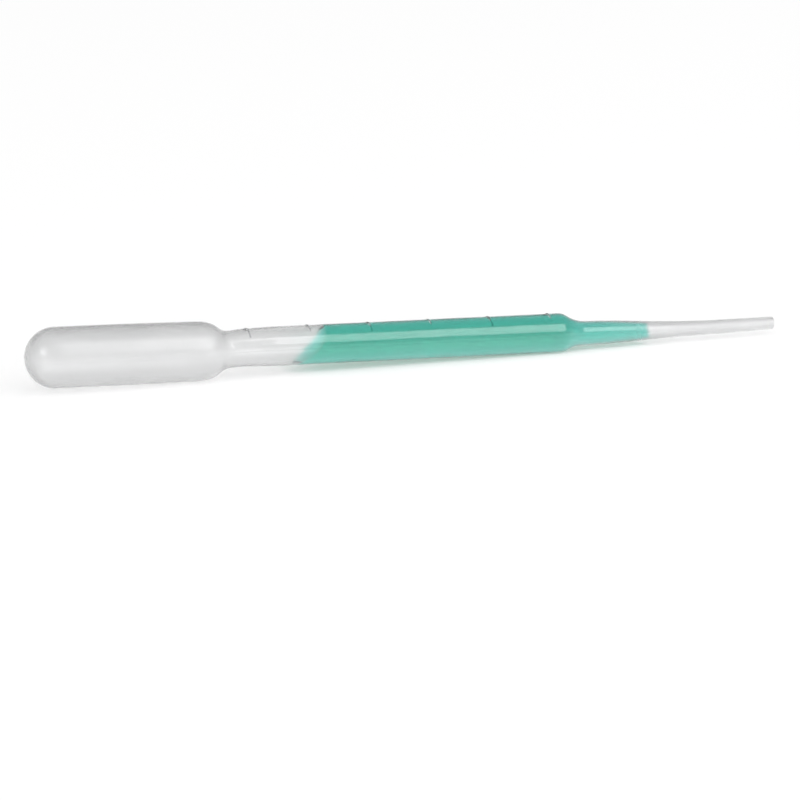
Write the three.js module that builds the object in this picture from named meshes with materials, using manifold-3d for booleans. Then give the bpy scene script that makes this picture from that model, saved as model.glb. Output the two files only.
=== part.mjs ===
// A graduated dropper pipette, blow-moulded in one piece from soft natural polyethylene, with a
// column of green liquid in its stem. It lies on a level surface, bulb towards -X and tip towards
// +X. Millimetres, +Z up, origin under the middle of the whole.
import * as THREE from 'three';
import { mergeVertices } from 'three/addons/utils/BufferGeometryUtils.js';
import Module from 'manifold-3d';

const wasm = await Module();
wasm.setup();

// Lengths along the axis, in order from the closed end of the bulb to the open tip, where the flare
// is the first stretch of the stem
const bulbBarrelLength = 21;
const bulbDraftLength = 12.9;
const bulbShoulderLength = 7.5;
const stemFlareLength = 8;
const stemLength = 67.9;
const stemShoulderLength = 6;
const drawnTaperLength = 27.5;
const nozzleLength = 12.2;

// Outside diameters in the same order
const bulbDiameter = 12;
const bulbNeckDiameter = 11.74;
const stemNeckDiameter = 7.34;
const stemDiameter = 7.8;
const taperDiameter = 4.8;
const nozzleDiameter = 2.84;
const tipDiameter = 2.5;
const tipEdgeRadius = 0.2;

// Form of the curved stretches, as shares of their length and of their change of radius
const bulbShoulder = { roll: 0.76, fill: 0.43 };
const stemShoulder = { roll: 0.34, fill: 0.68 };
const taperLead = 0.33;
const taperTrail = 0.54;
const taperFlare = 0.08;

// Wall thicknesses: thin where the parison was blown out, thick where the tip was drawn down
const wall = { bulb: 0.4, stem: 0.33, taper: 0.36, nozzle: 0.5 };
const noWall = { bulb: 0, stem: 0, taper: 0, nozzle: 0 };

// Graduation lines, raised on the upper side of the stem, whole millilitres the longer ones
const markVolume = 500;
const markSetback = 2.2;
const markWidth = 0.5;
const markCrestWidth = 0.2;
const markHeight = 0.12;
const wholeMarkSpread = THREE.MathUtils.degToRad(48);
const halfMarkSpread = THREE.MathUtils.degToRad(30);

// Parting line that the two mould halves leave along both sides and over the end of the bulb
const partingWidth = 0.3;
const partingHeight = 0.06;

// Column of liquid: the empty stem behind it, its reach into the drawn-down tip, both at the top
// of the bore, and how far gravity draws each end out along the bottom of the bore
const liquidClearance = 0.05;
const columnSetback = 18.9;
const columnStartSlump = 6;
const columnReach = 12.6;
const columnEndSlump = 0.5;

// The soft moulding is never quite straight: its axis steps up ahead of the bulb, climbs along the
// stem and drops back at the stem's end, and the last stretch of the tip curves up
const neckRise = 0.33;
const neckRiseSetback = 5.1;
const neckRiseLength = 5.4;
const stemRise = 0.3;
const tipRise = 0.47;
const tipCurveLength = 28;

// Depth of the small flat spots on which the soft bulb and stem lie
const flatSpotDepth = 0.06;

// Facets of the round surfaces
const roundSegments = 32;
const curveSteps = 7;
const cutOvershoot = 2;

// Stations along the axis, and the bore
const draftStart = bulbBarrelLength;
const neckStart = draftStart + bulbDraftLength;
const stemStart = neckStart + bulbShoulderLength;
const flareEnd = stemStart + stemFlareLength;
const stemEnd = stemStart + stemLength;
const taperStart = stemEnd + stemShoulderLength;
const nozzleStart = taperStart + drawnTaperLength;
const overallLength = nozzleStart + nozzleLength;
const boreRadius = stemDiameter / 2 - wall.stem;
const markPitch = markVolume / (Math.PI * boreRadius ** 2);
const markCount = 1 + Math.floor((stemLength - markSetback - markWidth) / markPitch);
const columnStart = stemStart + columnSetback;
const columnEnd = taperStart + columnReach;
const riseStart = neckStart + neckRiseSetback;
const riseEnd = riseStart + neckRiseLength;

// A shoulder rolls over from one diameter and fills back into the next
function addShoulder(line, form, fromRadius, toRadius, toStation) {
  const fromStation = line.currentPoint.y;
  const length = toStation - fromStation;
  const roll = fromStation + form.roll * length;
  const fill = toStation - form.fill * length;
  line.bezierCurveTo(fromRadius, roll, toRadius, fill, toRadius, toStation);
}

// The tip is drawn down quickly at first and then ever more slowly
function addDrawnTaper(line, fromRadius, toRadius) {
  const lead = taperStart + taperLead * drawnTaperLength;
  const trail = nozzleStart - taperTrail * drawnTaperLength;
  const flare = toRadius + taperFlare * (fromRadius - toRadius);
  line.bezierCurveTo(fromRadius, lead, flare, trail, toRadius, nozzleStart);
}

// The stem flares out from its narrow neck to its full size
function stemRadius(station) {
  const share = THREE.MathUtils.clamp((station - stemStart) / stemFlareLength, 0, 1);
  return THREE.MathUtils.lerp(stemNeckDiameter, stemDiameter, share) / 2;
}

// The same wall, with more of it or less everywhere
function thicken(thicknesses, amount) {
  const zones = Object.entries(thicknesses);
  return Object.fromEntries(zones.map(([zone, thickness]) => [zone, thickness + amount]));
}

// Half outline of the moulding (radius, station), as far inside its outer surface as inset says
function outline(inset, endStation) {
  const bulb = bulbDiameter / 2 - inset.bulb;
  const neck = bulbNeckDiameter / 2 - inset.bulb;
  const stemNeck = stemNeckDiameter / 2 - inset.stem;
  const stem = stemDiameter / 2 - inset.stem;
  const taper = taperDiameter / 2 - inset.taper;
  const nozzle = nozzleDiameter / 2 - inset.nozzle;
  const tip = tipDiameter / 2 - inset.nozzle;
  const line = new THREE.Path();
  line.absarc(0, bulbDiameter / 2, bulb, -Math.PI / 2, 0, false);
  line.lineTo(bulb, draftStart);
  line.lineTo(neck, neckStart);
  addShoulder(line, bulbShoulder, neck, stemNeck, stemStart);
  line.lineTo(stemRadius(riseEnd) - inset.stem, riseEnd);
  line.lineTo(stem, flareEnd);
  line.lineTo(stem, stemEnd);
  addShoulder(line, stemShoulder, stem, taper, taperStart);
  addDrawnTaper(line, taper, nozzle);
  line.lineTo(tip, endStation);
  return line;
}

// Revolves (radius, station) points about the X axis, with a flat facet lowest
function revolve(points) {
  const halfFacet = Math.PI / roundSegments;
  return new THREE.LatheGeometry(points, roundSegments, halfFacet).rotateZ(-Math.PI / 2);
}

function solidOf(geometry) {
  const bare = geometry.index ? geometry.toNonIndexed() : geometry.clone();
  bare.deleteAttribute('normal');
  bare.deleteAttribute('uv');
  const merged = mergeVertices(bare);
  return new wasm.Manifold(new wasm.Mesh({
    numProp: 3,
    vertProperties: merged.getAttribute('position').array,
    triVerts: new Uint32Array(merged.index.array),
  }));
}

function geometryOf(solid) {
  const mesh = solid.getMesh();
  const geometry = new THREE.BufferGeometry();
  geometry.setAttribute('position', new THREE.BufferAttribute(mesh.vertProperties, 3));
  geometry.setIndex(new THREE.BufferAttribute(mesh.triVerts, 1));
  geometry.computeVertexNormals();
  return geometry;
}

// The outside of the moulding, filled, with a rounded edge at the tip
function outerForm() {
  const line = outline(noWall, overallLength - tipEdgeRadius);
  const edge = tipDiameter / 2 - tipEdgeRadius;
  line.absarc(edge, overallLength - tipEdgeRadius, tipEdgeRadius, 0, Math.PI / 2, false);
  line.lineTo(0, overallLength);
  return solidOf(revolve(line.getPoints(curveSteps)));
}

// The space inside a wall, run out past the open tip
function innerForm(inset) {
  const line = outline(inset, overallLength);
  line.lineTo(tipDiameter / 2 - inset.nozzle, overallLength + cutOvershoot);
  line.lineTo(0, overallLength + cutOvershoot);
  return solidOf(revolve(line.getPoints(curveSteps)));
}

// A thin plate in the level plane through the axis, which stands out of the outer form as the
// parting line and stops where the tip was trimmed
function partingPlate() {
  const line = outline(thicken(noWall, -partingHeight), overallLength - 2 * tipEdgeRadius);
  const near = line.getPoints(curveSteps);
  const far = near.slice(1).reverse().map((point) => new THREE.Vector2(-point.x, point.y));
  const plate = new THREE.ExtrudeGeometry(new THREE.Shape([...near, ...far]), {
    depth: partingWidth,
    bevelEnabled: false,
  });
  return solidOf(plate.translate(0, 0, -partingWidth / 2).rotateZ(-Math.PI / 2));
}

// One graduation line: a low ring of trapezium section, kept within spread of the top
function graduation(station, spread) {
  const face = stemRadius(station);
  const foot = face - wall.stem / 2;
  const section = [
    [foot, -markWidth / 2],
    [face, -markWidth / 2],
    [face + markHeight, -markCrestWidth / 2],
    [face + markHeight, markCrestWidth / 2],
    [face, markWidth / 2],
    [foot, markWidth / 2],
    [foot, -markWidth / 2],
  ];
  const points = section.map(([radius, along]) => new THREE.Vector2(radius, station + along));
  const sector = new THREE.Shape();
  sector.moveTo(0, 0);
  sector.absarc(0, 0, stemDiameter, Math.PI - spread, Math.PI + spread, false);
  const wedge = new THREE.ExtrudeGeometry(sector, { depth: 2 * markWidth, bevelEnabled: false });
  wedge.rotateY(Math.PI / 2).translate(station - markWidth, 0, 0);
  return solidOf(revolve(points)).intersect(solidOf(wedge));
}

function graduations() {
  const marks = [];
  for (let index = 0; index < markCount; index += 1) {
    const wholeMillilitre = index % 2 === 1;
    const spread = wholeMillilitre ? wholeMarkSpread : halfMarkSpread;
    marks.push(graduation(stemEnd - markSetback - index * markPitch, spread));
  }
  return marks;
}

function moulding() {
  let body = outerForm().add(partingPlate());
  for (const mark of graduations()) {
    body = body.add(mark);
  }
  return body.subtract(innerForm(wall));
}

// Side view of the column, with both ends slumped along the bottom of the bore
function columnSide() {
  const side = new THREE.Shape();
  side.moveTo(columnEnd, stemDiameter);
  side.lineTo(columnStart, stemDiameter);
  side.lineTo(columnStart, boreRadius);
  side.quadraticCurveTo(columnStart, 0, columnStart - columnStartSlump, -boreRadius);
  side.lineTo(columnStart - columnStartSlump, -stemDiameter);
  side.lineTo(columnEnd + columnEndSlump, -stemDiameter);
  side.lineTo(columnEnd + columnEndSlump, -taperDiameter / 2);
  side.lineTo(columnEnd, taperDiameter / 2);
  return side;
}

function column() {
  const slab = new THREE.ExtrudeGeometry(columnSide(), {
    depth: 2 * stemDiameter,
    bevelEnabled: false,
    curveSegments: curveSteps,
  });
  slab.translate(0, 0, -stemDiameter).rotateX(Math.PI / 2);
  return innerForm(thicken(wall, liquidClearance)).intersect(solidOf(slab));
}

// Height of the bent axis above the bulb's own
function axisRise(station) {
  const { clamp, smoothstep } = THREE.MathUtils;
  const neck = neckRise * smoothstep(station, riseStart, riseEnd);
  const climb = stemRise * clamp((station - stemStart) / stemLength, 0, 1);
  const drop = smoothstep(station, stemEnd, taperStart);
  const tipCurve = Math.max(0, (station - overallLength + tipCurveLength) / tipCurveLength);
  return neck + climb * (1 - drop) + tipRise * tipCurve ** 2;
}

// Bends a straight solid to that axis
function bend(solid) {
  return solid.warp((point) => {
    point[2] += axisRise(point[0]);
  });
}

// The line that it can lie on, as (station, height) points: the lowest facets, seen from the side
function underside() {
  const facetDepth = Math.cos(Math.PI / roundSegments);
  const points = outline(noWall, overallLength).getPoints(curveSteps);
  return points.map((point) => new THREE.Vector2(point.y, axisRise(point.y) - point.x * facetDepth));
}

// It balances near the middle of its length, so it rests on the lowest line that joins a point
// behind the middle to one ahead of it: from the bulb's shoulder to the far end of the stem
function restingPlane() {
  const balance = overallLength / 2;
  const behind = underside().filter((point) => point.x < balance);
  const ahead = underside().filter((point) => point.x >= balance);
  const lowest = { height: Infinity, slope: 0 };
  for (const rear of behind) {
    for (const front of ahead) {
      const slope = (front.y - rear.y) / (front.x - rear.x);
      const height = rear.y + slope * (balance - rear.x);
      if (height < lowest.height) {
        Object.assign(lowest, { height, slope });
      }
    }
  }
  const upward = new THREE.Vector3(-lowest.slope, 0, 1).normalize();
  const point = new THREE.Vector3(balance, 0, lowest.height);
  return new THREE.Plane().setFromNormalAndCoplanarPoint(upward, point);
}

// Takes off what would reach below the flat spots
function pressFlat(solid, plane) {
  return solid.trimByPlane(plane.normal.toArray(), flatSpotDepth - plane.constant);
}

const polyethylene = new THREE.MeshStandardMaterial({
  color: 0xe6e9ea,
  roughness: 0.35,
  metalness: 0,
  transparent: true,
  opacity: 0.5,
});

const greenWater = new THREE.MeshStandardMaterial({ color: 0x17b58c, roughness: 0.05, metalness: 0 });

const restsOn = restingPlane();

const pipette = new THREE.Mesh(geometryOf(pressFlat(bend(moulding()), restsOn)), polyethylene);
pipette.name = 'pipette';

const greenLiquid = new THREE.Mesh(geometryOf(bend(column())), greenWater);
greenLiquid.name = 'green_liquid';

const part = new THREE.Group();
part.add(pipette, greenLiquid);
part.rotation.y = -Math.atan(restsOn.normal.x / restsOn.normal.z);

const box = new THREE.Box3().setFromObject(part, true);
const middle = box.getCenter(new THREE.Vector3());
part.position.set(-middle.x, -middle.y, -box.min.z);

export default part;
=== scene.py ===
"""A one-piece plastic dropper pipette with green liquid in its stem, lying on a white surface.

The moulding and the column are made along the pipette's own straight axis, in millimetres from the
closed end of the bulb. lay_down() then bends them as the soft moulding is bent and sets them on the
floor in metres, where the CAD model lies."""
import math

import bpy
import numpy as np
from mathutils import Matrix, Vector


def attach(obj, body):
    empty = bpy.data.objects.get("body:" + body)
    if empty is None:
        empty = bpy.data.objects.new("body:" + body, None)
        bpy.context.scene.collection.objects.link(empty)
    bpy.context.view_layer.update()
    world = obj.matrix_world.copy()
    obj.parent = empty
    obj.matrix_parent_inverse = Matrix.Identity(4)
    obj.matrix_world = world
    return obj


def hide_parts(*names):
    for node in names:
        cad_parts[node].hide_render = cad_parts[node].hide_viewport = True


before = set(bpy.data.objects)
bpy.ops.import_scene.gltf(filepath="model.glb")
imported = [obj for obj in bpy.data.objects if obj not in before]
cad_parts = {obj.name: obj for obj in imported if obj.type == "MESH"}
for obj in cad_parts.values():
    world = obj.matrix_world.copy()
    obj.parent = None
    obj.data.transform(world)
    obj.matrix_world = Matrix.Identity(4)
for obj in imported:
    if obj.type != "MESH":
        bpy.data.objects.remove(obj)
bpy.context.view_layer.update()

METRES = 0.001

# Lengths along the axis, as in the CAD model, the barrel's from the closed end
BULB_BARREL = 21.0
BULB_DRAFT = 12.9
BULB_SHOULDER = 7.5
STEM_FLARE = 8.0
STEM = 67.9
STEM_SHOULDER = 6.0
DRAWN_TAPER = 27.5
NOZZLE = 12.2

# Outside radii
BULB_RADIUS = 6.0
BULB_NECK_RADIUS = 5.87
STEM_NECK_RADIUS = 3.67
STEM_RADIUS = 3.9
TAPER_RADIUS = 2.4
NOZZLE_RADIUS = 1.42
TIP_RADIUS = 1.25
TIP_EDGE = 0.2
BORE_EDGE = 0.06

# Walls
BULB_WALL = 0.4
STEM_WALL = 0.33
TAPER_WALL = 0.36
NOZZLE_WALL = 0.5

# Form of the shoulders and of the drawn taper, as shares of their length and change of radius
BULB_ROLL, BULB_FILL = 0.76, 0.43
STEM_ROLL, STEM_FILL = 0.34, 0.68
TAPER_LEAD, TAPER_TRAIL, TAPER_HOLLOW = 0.33, 0.54, 0.08

# Stations where one stretch passes into the next
DRAFT_START = BULB_BARREL
NECK_START = DRAFT_START + BULB_DRAFT
STEM_START = NECK_START + BULB_SHOULDER
FLARE_END = STEM_START + STEM_FLARE
STEM_END = STEM_START + STEM
TAPER_START = STEM_END + STEM_SHOULDER
NOZZLE_START = TAPER_START + DRAWN_TAPER
OVERALL = NOZZLE_START + NOZZLE

# Graduation lines, raised from the stem to a flat crest, whole millilitres the longer ones
BORE_RADIUS = STEM_RADIUS - STEM_WALL
MARK_COUNT = 6
MARK_VOLUME = 500.0
MARK_PITCH = MARK_VOLUME / (math.pi * BORE_RADIUS**2)
MARK_SETBACK = 2.2
MARK_STATIONS = [STEM_END - MARK_SETBACK - index * MARK_PITCH for index in range(MARK_COUNT)]
MARK_WIDTH = 0.5
MARK_CREST = 0.1
MARK_HEIGHT = 0.12
MARK_FADE = math.radians(5)
WHOLE_SPREAD = math.radians(48)
HALF_SPREAD = math.radians(30)

# Parting line of the mould, along both sides
PARTING_WIDTH = 0.3
PARTING_HEIGHT = 0.03

# Column of liquid
COLUMN_START = STEM_START + 18.9
COLUMN_END = TAPER_START + 12.6
START_SLUMP = 6.0
END_SLUMP = 0.5
SLUMP_REACH = 9.0
FILM = 0.01

# The bent axis
NECK_RISE = 0.33
NECK_RISE_START = NECK_START + 5.1
NECK_RISE_LENGTH = 5.4
STEM_RISE = 0.3
TIP_RISE = 0.47
TIP_CURVE = 28.0
FLAT_SPOT = 0.06

# Spacing of the mesh along the axis, and in degrees round it, closer beside the parting lines
STEM_SPACING = 1.2
FINE_SPACING = 0.3
MERIDIAN_SPACING = 2.0
PARTING_MERIDIANS = 0.65, 1.3, 1.9
MARK_RINGS = 9
DOME_STEPS = 22
EDGE_STEPS = 4
CAP_RINGS = 10

# Small irregularities: the hollow ends of the column, and slow waves of the blown wall, which end
# between two distances from the tip
MENISCUS_DEPTH = 0.25
WAVE_HEIGHT = 0.03
WAVE_LENGTHS = 9, 34
WAVES_ROUND = 0, 1, 1, 2, 2, 3, 4, 5
WAVE_END = 4, 1
OUTSIDE_SEED = 3
BORE_SEED = 8

# The wetted wall bends light less than the dry one, so that the film of air behind it mirrors less
WALL_IOR = 1.51
WETTED_IOR = 1.4
LIQUID_IOR = 1.04

# The bulb came off the mould duller than the stem, and so did the tip
BULB_ROUGHNESS = 0.27
STEM_ROUGHNESS = 0.14
TIP_ROUGHNESS = 0.4

# Share of the light that goes through each face of the wall, where the rest is scattered
DRY_CLARITY = 0.96
WETTED_CLARITY = 1.0

# Colours of the wall's haze, and the painted shade on the graduation lines, which darkens the haze the
# higher a line stands
CLOUD_COLOURS = (0.8, 0.803, 0.806), (0.85, 0.852, 0.854)
MARK_SHADE_COLOUR = 0.4, 0.41, 0.42

# Faint ripple of the wall, its depth in metres
RIPPLE_STRENGTH = 0.02
RIPPLE_DEPTH = 0.00005

# Green water: tints of its surface, and what it takes out of the light, with the density per metre
WATER_TINTS = (0.97, 1, 0.99), (1, 1, 1)
WATER_COLOUR = 0.0, 0.882, 0.806
WATER_DENSITY = 560

# Colour of the lamps' light that goes straight through
LIGHT_THROUGH_WALL = 0.95, 0.95, 0.95
LIGHT_THROUGH_WATER = 0.03, 0.5, 0.35

# Noise seldom lies outside this range, which is taken as the whole way between two colours
NOISE_RANGE = 0.3, 0.7

# Floor and world, in shares of white
FLOOR_SIZE = 4.0
FLOOR_ALBEDO = 0.75
FLOOR_GLOW = 0.25
WORLD_LIGHT = 0.76
CEILING = 0.45
CEILING_EDGES = math.radians(40), math.radians(52)

# What is mirrored: a floor that glows more in front of the pipette, and a black ceiling
MIRRORED_GLOW = 1.15
MIRRORED_FRONT = -0.001, -0.004
MIRRORED_HORIZON = 0.9
MIRRORED_CEILING = 0
MIRRORED_EDGES = math.radians(5), math.radians(25)

# Camera, in degrees and metres, with the lens in millimetres
CAMERA_AZIMUTH = -17.41
CAMERA_ELEVATION = 15.0
CAMERA_DISTANCE = 1.2
CAMERA_LENS = 272.25
CAMERA_TARGET = -0.00123, 0, -0.0074


def smooth(value, start, end):
    """0 before start, 1 after end, and an even curve between."""
    share = np.clip((value - start) / (end - start), 0, 1)
    return share * share * (3 - 2 * share)


def curve(*points, spacing):
    """Points on a cubic curve through its first and last point, without the first."""
    first, lead, trail, last = np.array(points, float)
    steps = max(4, round(abs(last[0] - first[0]) / spacing))
    t = np.linspace(0, 1, steps + 1)[1:, None]
    return (1 - t) ** 3 * first + 3 * (1 - t) ** 2 * t * lead + 3 * (1 - t) * t**2 * trail + t**3 * last


def line(first, last, spacing):
    """Points on a straight line, without the first."""
    steps = max(1, math.ceil(abs(last[0] - first[0]) / spacing))
    return np.linspace(first, last, steps + 1)[1:]


def shoulder(first, last, roll, fill):
    """Points on a step from one radius to another, which starts and ends along the axis."""
    length = last[0] - first[0]
    lead = (first[0] + roll * length, first[1])
    trail = (last[0] - fill * length, last[1])
    return curve(first, lead, trail, last, spacing=FINE_SPACING)


def outline(bulb_wall=0.0, stem_wall=0.0, taper_wall=0.0, nozzle_wall=0.0):
    """Half outline as (station, radius) from the closed end of the bulb, set in by the walls."""
    bulb = BULB_RADIUS - bulb_wall
    neck = (NECK_START, BULB_NECK_RADIUS - bulb_wall)
    stem = STEM_RADIUS - stem_wall
    stem_start = (STEM_START, STEM_NECK_RADIUS - stem_wall)
    taper = (TAPER_START, TAPER_RADIUS - taper_wall)
    nozzle = (NOZZLE_START, NOZZLE_RADIUS - nozzle_wall)
    lead = (taper[0] + TAPER_LEAD * DRAWN_TAPER, taper[1])
    trail = (nozzle[0] - TAPER_TRAIL * DRAWN_TAPER, nozzle[1] + TAPER_HOLLOW * (taper[1] - nozzle[1]))
    turn = np.linspace(0, math.pi / 2, DOME_STEPS + 1)
    dome = np.stack([BULB_RADIUS - bulb * np.cos(turn), bulb * np.sin(turn)], axis=1)
    return np.concatenate([
        dome,
        line((BULB_RADIUS, bulb), (DRAFT_START, bulb), STEM_SPACING),
        line((DRAFT_START, bulb), neck, STEM_SPACING),
        shoulder(neck, stem_start, BULB_ROLL, BULB_FILL),
        line(stem_start, (FLARE_END, stem), STEM_SPACING),
        line((FLARE_END, stem), (STEM_END, stem), STEM_SPACING),
        shoulder((STEM_END, stem), taper, STEM_ROLL, STEM_FILL),
        curve(taper, lead, trail, nozzle, spacing=STEM_SPACING),
        line(nozzle, (OVERALL, TIP_RADIUS - nozzle_wall), STEM_SPACING),
    ])


OUTER = outline()
INNER = outline(BULB_WALL, STEM_WALL, TAPER_WALL, NOZZLE_WALL)


def radius_at(profile, stations):
    """Radius of a profile at stations past the bulb's dome."""
    return np.interp(stations, profile[:, 0], profile[:, 1])


def with_stations(profile, stations):
    """The profile with more points on it, at these stations."""
    extra = np.stack([stations, radius_at(profile, stations)], axis=1)
    together = np.concatenate([profile, extra])
    return together[np.argsort(together[:, 0], kind="stable")]


def with_edge(profile, radius, away):
    """The profile ended in a rounded edge that turns towards the axis, away -1, or from it, away 1."""
    start = OVERALL - radius
    straight = with_stations(profile, [start])
    straight = straight[straight[:, 0] <= start]
    turn = np.linspace(0, math.pi / 2, EDGE_STEPS + 1)[1:]
    rise = away * radius * (1 - np.cos(turn))
    edge = np.stack([start + radius * np.sin(turn), straight[-1, 1] + rise], axis=1)
    return np.concatenate([straight, edge])


def outer_profile():
    """The outer outline, with rings across each graduation line."""
    across = np.linspace(-MARK_WIDTH / 2, MARK_WIDTH / 2, MARK_RINGS)
    rings = (np.array(MARK_STATIONS)[:, None] + across).ravel()
    return with_edge(with_stations(OUTER, rings), TIP_EDGE, -1)


def inner_profile():
    """The bore's outline, with rings where the column ends."""
    return with_edge(with_stations(INNER, [COLUMN_START, COLUMN_END]), BORE_EDGE, 1)


def meridians():
    """Angles round the axis from the top, with more of them at the two parting lines."""
    even = np.arange(0, 360, MERIDIAN_SPACING)
    beside = np.array(PARTING_MERIDIANS)
    parted = [seam + side for seam in (90, 270) for side in (-beside, beside)]
    return np.radians(np.sort(np.concatenate([even, *parted])))


ANGLES = meridians()


def unevenness(profile, seed):
    """Slow waves of a blown wall, which die out at both ends. The more go round, the lower they are."""
    stations = profile[:, :1]
    random = np.random.default_rng(seed)
    waves = np.zeros((len(profile), len(ANGLES)))
    for around in WAVES_ROUND:
        pace = 2 * math.pi / random.uniform(*WAVE_LENGTHS)
        phase, lean = random.uniform(0, 2 * math.pi, 2)
        waves += np.sin(pace * stations + phase) * np.cos(around * ANGLES + lean) / (2 + around)
    fading, still = [OVERALL - reach for reach in WAVE_END]
    fade = smooth(stations, 0, BULB_RADIUS) * (1 - smooth(stations, fading, still))
    return WAVE_HEIGHT * fade * waves


def graduation(profile):
    """Height of the raised graduation lines."""
    off_top = np.minimum(ANGLES, 2 * math.pi - ANGLES)
    height = np.zeros((len(profile), len(ANGLES)))
    for index, middle in enumerate(MARK_STATIONS):
        spread = WHOLE_SPREAD if index % 2 else HALF_SPREAD
        across = 1 - smooth(np.abs(profile[:, :1] - middle), MARK_CREST / 2, MARK_WIDTH / 2)
        height = np.maximum(height, across * (1 - smooth(off_top, spread - MARK_FADE, spread)))
    return MARK_HEIGHT * height


def parting(profile):
    """Height of the parting line, a low round ridge that stops where the tip was trimmed."""
    off_plane = np.abs(profile[:, 1:] * np.cos(ANGLES)) / (PARTING_WIDTH / 2)
    trimmed = 1 - smooth(profile[:, :1], OVERALL - 3 * TIP_EDGE, OVERALL - 2 * TIP_EDGE)
    return PARTING_HEIGHT * trimmed * np.clip(1 - off_plane**2, 0, 1)


def displaced(profile, stations, radii, amounts):
    """Stations and radii moved away from the axis, square to their outline."""
    run = np.gradient(profile, axis=0)
    run /= np.linalg.norm(run, axis=1, keepdims=True)
    return stations - run[:, 1:] * amounts, radii + run[:, :1] * amounts


def slumped(stations, share=1.0):
    """Stations in the bore, leant so that a ring follows each end of the column. A ring may lie
    inside the bore, at a share of its radius."""
    depth = (1 - share * np.cos(ANGLES)) / 2
    start = np.clip(1 - np.abs(stations - COLUMN_START) / SLUMP_REACH, 0, 1)
    end = np.clip(1 - np.abs(stations - COLUMN_END) / SLUMP_REACH, 0, 1)
    return stations - START_SLUMP * depth**2 * start + END_SLUMP * depth * end


def axis_rise(stations):
    """Height of the bent axis above the bulb's own."""
    neck = NECK_RISE * smooth(stations, NECK_RISE_START, NECK_RISE_START + NECK_RISE_LENGTH)
    climb = STEM_RISE * np.clip((stations - STEM_START) / STEM, 0, 1)
    tip = np.clip((stations - OVERALL + TIP_CURVE) / TIP_CURVE, 0, None)
    return neck + climb * (1 - smooth(stations, STEM_END, TAPER_START)) + TIP_RISE * tip**2


def resting_line():
    """Tilt of the lowest line that the underside can lie on, and its height at mid-length."""
    low = axis_rise(OUTER[:, 0]) - OUTER[:, 1]
    behind = OUTER[:, 0] < OVERALL / 2
    rear, front = np.meshgrid(np.flatnonzero(behind), np.flatnonzero(~behind))
    slope = (low[front] - low[rear]) / (OUTER[front, 0] - OUTER[rear, 0])
    height = low[rear] + slope * (OVERALL / 2 - OUTER[rear, 0])
    lowest = np.unravel_index(np.argmin(height), height.shape)
    return math.atan(slope[lowest]), height[lowest]


REST_TILT, REST_HEIGHT = resting_line()


def tipped(stations, heights):
    """Lengths and heights off the axis as they are once the pipette has come to rest."""
    length = stations - OVERALL / 2
    height = heights + axis_rise(stations) - REST_HEIGHT
    x = length * math.cos(REST_TILT) + height * math.sin(REST_TILT)
    return x, height * math.cos(REST_TILT) - length * math.sin(REST_TILT) - FLAT_SPOT


def middle():
    """Middle of its length as it lies, which the CAD model has at the origin."""
    above = tipped(OUTER[:, 0], OUTER[:, 1])[0]
    below = tipped(OUTER[:, 0], -OUTER[:, 1])[0]
    return (min(above.min(), below.min()) + max(above.max(), below.max())) / 2


MIDDLE = middle()


def lay_down(stations, radii, floor):
    """Places in metres of rings given along the straight axis, none lower than the floor."""
    x, z = tipped(stations, radii * np.cos(ANGLES))
    places = np.broadcast_arrays(x - MIDDLE, radii * np.sin(ANGLES), np.maximum(z, floor))
    return METRES * np.stack(places, axis=-1)


def outer_skin():
    """Places of the outside, ring by ring from its pole at the bulb's end."""
    profile = outer_profile()
    amounts = unevenness(profile, OUTSIDE_SEED) + graduation(profile) + parting(profile)
    return lay_down(*displaced(profile, profile[:, :1], profile[:, 1:], amounts), 0)


def bore(film=0.0):
    """The bore's outline, and the stations and radii of its rings, a film's width in from the wall."""
    profile = inner_profile()
    leant = slumped(profile[:, :1])
    inside = radius_at(INNER, leant)
    off_ends = (profile[:, :1] > DRAFT_START) & (profile[:, :1] < OVERALL - SLUMP_REACH)
    radii = np.where(off_ends, inside, profile[:, 1:])
    return profile, displaced(profile, leant, radii, unevenness(profile, BORE_SEED) - film)


def inner_skin():
    """The bore's outline and its places, ring by ring from its pole at the bulb's end."""
    profile, (stations, radii) = bore()
    wall = np.where(profile[:, :1] < STEM_START, BULB_WALL, STEM_WALL)
    return profile, lay_down(stations, radii, wall)


def make_piece(name, skin, bands, materials):
    """A closed piece from rings of places, the first and last of them poles, with a material for
    each band between two rings."""
    around = len(ANGLES)
    vertices = np.concatenate([skin[0, :1], skin[1:-1].reshape(-1, 3), skin[-1, :1]])
    sides = [(side, (side + 1) % around) for side in range(around)]
    rings = [1 + around * ring for ring in range(len(skin) - 2)]
    faces = [(0, rings[0] + a, rings[0] + b) for a, b in sides]
    for ring in rings[:-1]:
        faces += [(ring + a, ring + around + a, ring + around + b, ring + b) for a, b in sides]
    faces += [(len(vertices) - 1, rings[-1] + b, rings[-1] + a) for a, b in sides]
    mesh = bpy.data.meshes.new(name)
    mesh.from_pydata(vertices.tolist(), [], faces)
    for material in materials:
        mesh.materials.append(material)
    mesh.polygons.foreach_set("material_index", np.repeat(bands, around).astype(np.int32))
    mesh.polygons.foreach_set("use_smooth", np.ones(len(faces), bool))
    mesh.update()
    piece = bpy.data.objects.new(name, mesh)
    bpy.context.scene.collection.objects.link(piece)
    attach(piece, "root")
    return piece


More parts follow.
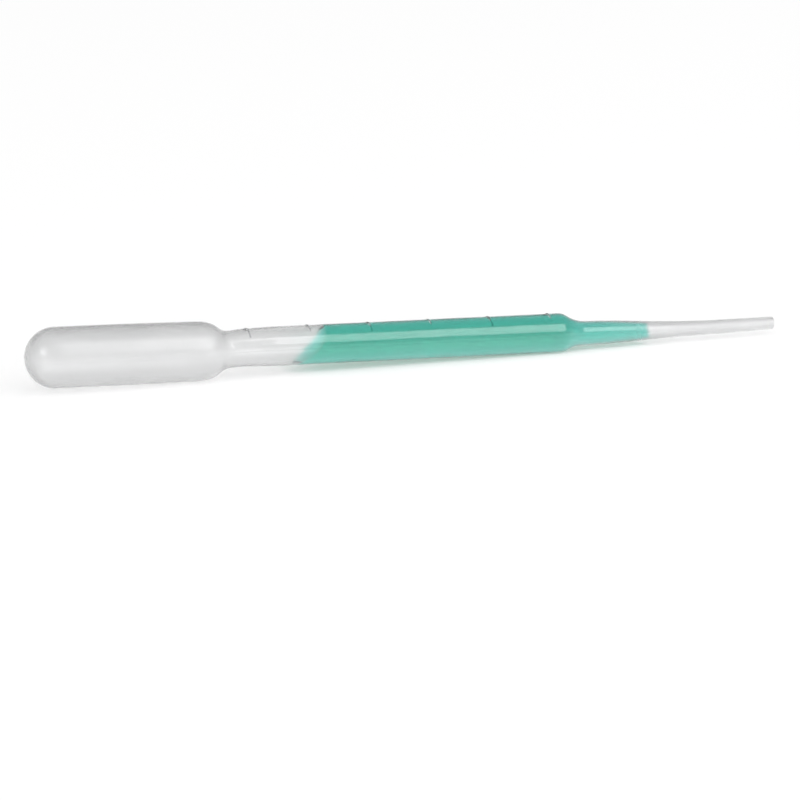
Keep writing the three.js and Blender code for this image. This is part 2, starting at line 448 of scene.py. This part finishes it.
def make_moulding(dry, wet):
    """The whole moulding as one closed wall: the outside, the tip's end and the bore behind it."""
    profile, inside = inner_skin()
    outside = outer_skin()
    skin = np.concatenate([outside, inside[::-1]])
    wetted = (profile[:-1, 0] >= COLUMN_START) & (profile[1:, 0] <= COLUMN_END)
    bands = np.concatenate([np.zeros(len(outside), int), wetted[::-1].astype(int)])
    piece = make_piece("moulding", skin, bands, [dry, wet])
    # How much of a graduation line's height each vertex of the outside has, which sets how much painted
    # shade darkens it
    raised = graduation(outer_profile()) / MARK_HEIGHT
    raised = np.concatenate([raised[0, :1], raised[1:].ravel()])
    painted_mark_shade = np.zeros(len(piece.data.vertices))
    painted_mark_shade[:len(raised)] = raised
    piece.data.attributes.new("painted_mark_shade", "FLOAT", "POINT").data.foreach_set("value", painted_mark_shade)
    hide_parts("pipette")


def make_liquid(material):
    """The column, a film's width inside the bore, with a slightly hollow surface at each end."""
    profile, (stations, radii) = bore(FILM)
    filled = (profile[:, 0] >= COLUMN_START) & (profile[:, 0] <= COLUMN_END)
    stations, radii = stations[filled], radii[filled]
    share = np.linspace(0, 1, CAP_RINGS + 1)[:-1, None]
    hollow = MENISCUS_DEPTH * (1 - share**2)
    start = slumped(np.full_like(share, COLUMN_START), share) + hollow, share * radii[0]
    end = slumped(np.full_like(share, COLUMN_END), share) - hollow, share * radii[-1]
    stations = np.concatenate([start[0], stations, end[0][::-1]])
    radii = np.concatenate([start[1], radii, end[1][::-1]])
    skin = lay_down(stations, radii, STEM_WALL)
    piece = make_piece("liquid_column", skin, np.zeros(len(stations) - 1, int), [material])
    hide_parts("green_liquid")


def new_material(name):
    """A material, its nodes and their links."""
    material = bpy.data.materials.new(name)
    material.use_nodes = True
    return material, material.node_tree.nodes, material.node_tree.links


def noise(nodes, links, stretch, scale, detail):
    """Noise in the object's own space, stretched along the pipette."""
    place = nodes.new("ShaderNodeTexCoord")
    mapping = nodes.new("ShaderNodeMapping")
    mapping.inputs["Scale"].default_value = (1 / stretch, 1, 1)
    texture = nodes.new("ShaderNodeTexNoise")
    texture.inputs["Scale"].default_value = scale
    texture.inputs["Detail"].default_value = detail
    links.new(place.outputs["Object"], mapping.inputs["Vector"])
    links.new(mapping.outputs["Vector"], texture.inputs["Vector"])
    return texture.outputs["Fac"]


def between(nodes, links, factor, low, high):
    """A colour that goes from low to high with noise."""
    ramp = nodes.new("ShaderNodeValToRGB")
    for stop, position, colour in zip(ramp.color_ramp.elements, NOISE_RANGE, (low, high)):
        stop.position = position
        stop.color = (*colour, 1)
    links.new(factor, ramp.inputs["Fac"])
    return ramp.outputs["Color"]


def coordinate(nodes, links, space, axis):
    """One coordinate of the place that is shaded, or of the direction in the world."""
    place = nodes.new("ShaderNodeSeparateXYZ")
    links.new(nodes.new("ShaderNodeTexCoord").outputs[space], place.inputs["Vector"])
    return place.outputs[axis]


def eased(nodes, links, value, edges, low, high):
    """A value that eases from low to high while another goes from one edge to the other."""
    ease = nodes.new("ShaderNodeMapRange")
    ease.interpolation_type = "SMOOTHSTEP"
    ease.inputs["From Min"].default_value = edges[0]
    ease.inputs["From Max"].default_value = edges[1]
    ease.inputs["To Min"].default_value = low
    ease.inputs["To Max"].default_value = high
    links.new(value, ease.inputs["Value"])
    return ease.outputs["Result"]


def worked_out(nodes, links, operation, *values, clamp=False):
    """The result of an operation on sockets and plain numbers."""
    maths = nodes.new("ShaderNodeMath")
    maths.operation = operation
    maths.use_clamp = clamp
    for value, socket in zip(values, maths.inputs):
        if isinstance(value, bpy.types.NodeSocket):
            links.new(value, socket)
        else:
            socket.default_value = value
    return maths.outputs["Value"]


def along(nodes, links, start, end, low, high):
    """A value that goes from low to high between two stations along the pipette."""
    edges = [METRES * (station - OVERALL / 2) for station in (start, end)]
    return eased(nodes, links, coordinate(nodes, links, "Object", "X"), edges, low, high)


def let_lamps_through(material, colour):
    """Lets the light of lamps straight through a see-through material, so that its shadow is pale."""
    nodes, links = material.node_tree.nodes, material.node_tree.links
    clear = nodes.new("ShaderNodeBsdfTransparent")
    clear.inputs["Color"].default_value = (*colour, 1)
    mix = nodes.new("ShaderNodeMixShader")
    links.new(nodes.new("ShaderNodeLightPath").outputs["Is Shadow Ray"], mix.inputs["Fac"])
    links.new(nodes["Principled BSDF"].outputs["BSDF"], mix.inputs[1])
    links.new(clear.outputs["BSDF"], mix.inputs[2])
    links.new(mix.outputs["Shader"], nodes["Material Output"].inputs["Surface"])


def polyethylene(name, ior, clarity):
    """Soft natural polyethylene: clear enough to see through, with a faint cloudy haze."""
    material, nodes, links = new_material(name)
    shader = nodes["Principled BSDF"]
    shader.inputs["Transmission Weight"].default_value = clarity
    shader.inputs["IOR"].default_value = ior
    cloud = between(nodes, links, noise(nodes, links, stretch=6, scale=260, detail=3), *CLOUD_COLOURS)
    # Painted shade: the graduation lines are darkened in the base colour, the more the higher they
    # stand
    colour = nodes.new("ShaderNodeMix")
    colour.data_type = "RGBA"
    painted_mark_shade = nodes.new("ShaderNodeAttribute")
    painted_mark_shade.attribute_name = "painted_mark_shade"
    links.new(painted_mark_shade.outputs["Fac"], colour.inputs["Factor"])
    links.new(cloud, colour.inputs["A"])
    colour.inputs["B"].default_value = (*MARK_SHADE_COLOUR, 1)
    links.new(colour.outputs["Result"], shader.inputs["Base Color"])
    stem = along(nodes, links, NECK_START, FLARE_END, BULB_ROUGHNESS, STEM_ROUGHNESS)
    tip = along(nodes, links, STEM_END, NOZZLE_START, 0, TIP_ROUGHNESS - STEM_ROUGHNESS)
    links.new(worked_out(nodes, links, "ADD", stem, tip), shader.inputs["Roughness"])
    ripple = nodes.new("ShaderNodeBump")
    ripple.inputs["Strength"].default_value = RIPPLE_STRENGTH
    ripple.inputs["Distance"].default_value = RIPPLE_DEPTH
    links.new(noise(nodes, links, stretch=4, scale=250, detail=1), ripple.inputs["Height"])
    links.new(ripple.outputs["Normal"], shader.inputs["Normal"])
    let_lamps_through(material, LIGHT_THROUGH_WALL)
    return material


def green_water():
    """Clear green water, which takes its colour from its depth."""
    material, nodes, links = new_material("green_liquid")
    shader = nodes["Principled BSDF"]
    shader.inputs["Transmission Weight"].default_value = 1
    shader.inputs["Roughness"].default_value = 0
    shader.inputs["IOR"].default_value = LIQUID_IOR
    tint = between(nodes, links, noise(nodes, links, stretch=4, scale=90, detail=1), *WATER_TINTS)
    links.new(tint, shader.inputs["Base Color"])
    absorption = nodes.new("ShaderNodeVolumeAbsorption")
    absorption.inputs["Color"].default_value = (*WATER_COLOUR, 1)
    absorption.inputs["Density"].default_value = WATER_DENSITY
    links.new(absorption.outputs["Volume"], nodes["Material Output"].inputs["Volume"])
    let_lamps_through(material, LIGHT_THROUGH_WATER)
    return material


def floor_glow(nodes, links):
    """The floor's own light, stronger where the pipette mirrors the floor in front of it."""
    path = nodes.new("ShaderNodeLightPath")
    seen = path.outputs["Is Glossy Ray"], path.outputs["Is Transmission Ray"]
    mirrored = worked_out(nodes, links, "SUBTRACT", *seen, clamp=True)
    front = eased(nodes, links, coordinate(nodes, links, "Object", "Y"), MIRRORED_FRONT, 0, 1)
    extra = worked_out(nodes, links, "MULTIPLY", mirrored, front)
    return worked_out(nodes, links, "MULTIPLY_ADD", extra, MIRRORED_GLOW - FLOOR_GLOW, FLOOR_GLOW)


def make_floor():
    """A white floor that keeps the pipette's shadow."""
    material, nodes, links = new_material("floor")
    shader = nodes["Principled BSDF"]
    shader.inputs["Base Color"].default_value = (FLOOR_ALBEDO, FLOOR_ALBEDO, FLOOR_ALBEDO, 1)
    shader.inputs["Roughness"].default_value = 1
    shader.inputs["Specular IOR Level"].default_value = 0
    shader.inputs["Emission Color"].default_value = (1, 1, 1, 1)
    links.new(floor_glow(nodes, links), shader.inputs["Emission Strength"])
    mesh = bpy.data.meshes.new("floor")
    half = FLOOR_SIZE / 2
    corners = [(-half, -half, 0), (half, -half, 0), (half, half, 0), (-half, half, 0)]
    mesh.from_pydata(corners, [], [(0, 1, 2, 3)])
    mesh.materials.append(material)
    floor = bpy.data.objects.new("floor", mesh)
    bpy.context.scene.collection.objects.link(floor)


def under_ceiling(nodes, links, edges, bright, dim):
    """Bright up to the first of two elevations, dim from the second on."""
    up = coordinate(nodes, links, "Generated", "Z")
    return eased(nodes, links, up, [math.sin(edge) for edge in edges], bright, dim)


def chosen(nodes, links, choice, low, high):
    """The value low where the choice is 0, high where it is 1."""
    value = nodes.new("ShaderNodeMapRange")
    links.new(choice, value.inputs["Value"])
    links.new(low, value.inputs["To Min"])
    links.new(high, value.inputs["To Max"])
    return value.outputs["Result"]


def make_world():
    """Studio light from the front, seen as a white backdrop and mirrored as a low bright horizon."""
    world = bpy.data.worlds.new("studio")
    world.use_nodes = True
    nodes, links = world.node_tree.nodes, world.node_tree.links
    path = nodes.new("ShaderNodeLightPath")
    rays = path.outputs["Is Camera Ray"], path.outputs["Is Transmission Ray"]
    seen = worked_out(nodes, links, "MAXIMUM", *rays)
    back = coordinate(nodes, links, "Generated", "Y")
    light = worked_out(nodes, links, "MULTIPLY_ADD", back, -WORLD_LIGHT, WORLD_LIGHT)
    mirrored = under_ceiling(nodes, links, MIRRORED_EDGES, MIRRORED_HORIZON, MIRRORED_CEILING)
    unseen = chosen(nodes, links, path.outputs["Is Glossy Ray"], light, mirrored)
    backdrop = under_ceiling(nodes, links, CEILING_EDGES, 1, CEILING)
    strength = chosen(nodes, links, seen, unseen, backdrop)
    background = nodes["Background"]
    background.inputs["Color"].default_value = (1, 1, 1, 1)
    links.new(strength, background.inputs["Strength"])
    bpy.context.scene.world = world


def direction(azimuth, elevation):
    """Unit vector from the object, azimuth 0 towards the front and growing towards +X."""
    a, e = math.radians(azimuth), math.radians(elevation)
    return Vector((math.sin(a) * math.cos(e), -math.cos(a) * math.cos(e), math.sin(e)))


def make_softbox(name, place, aim, width, height, radiance):
    """A rectangular lamp that faces a point, as bright as radiance times white."""
    lamp = bpy.data.lights.new(name, "AREA")
    lamp.shape = "RECTANGLE"
    lamp.size = width
    lamp.size_y = height
    lamp.energy = radiance * math.pi * width * height
    softbox = bpy.data.objects.new(name, lamp)
    softbox.location = place
    softbox.rotation_euler = (Vector(place) - Vector(aim)).to_track_quat("Z", "Y").to_euler()
    bpy.context.scene.collection.objects.link(softbox)


def make_camera():
    """A long lens from the front, a little to the bulb's side and a little above."""
    camera = bpy.data.cameras.new("camera")
    camera.lens = CAMERA_LENS
    camera.clip_end = 10
    holder = bpy.data.objects.new("camera", camera)
    back = direction(CAMERA_AZIMUTH, CAMERA_ELEVATION)
    holder.location = Vector(CAMERA_TARGET) + back * CAMERA_DISTANCE
    holder.rotation_euler = back.to_track_quat("Z", "Y").to_euler()
    bpy.context.scene.collection.objects.link(holder)
    bpy.context.scene.camera = holder


make_camera()
make_world()
make_floor()

# A key lamp from the right, a long strip above the front and a small lamp from the left
make_softbox("key", place=(1.35, -2, 2), aim=(1.35, 0, 0), width=1.1, height=2.3, radiance=3.4)
make_softbox("strip", place=(0.07, -1.6, 2.5), aim=(0.07, 0, 0), width=1.34, height=0.5, radiance=2.2)
make_softbox("left", place=(-2.4, -1.2, 1.4), aim=(0, 0, 0), width=0.9, height=0.9, radiance=5.5)

dry = polyethylene("polyethylene", WALL_IOR, DRY_CLARITY)
wet = polyethylene("wetted_polyethylene", WETTED_IOR, WETTED_CLARITY)
make_moulding(dry, wet)
make_liquid(green_water())
bpy.context.scene.view_settings.view_transform = "Standard"
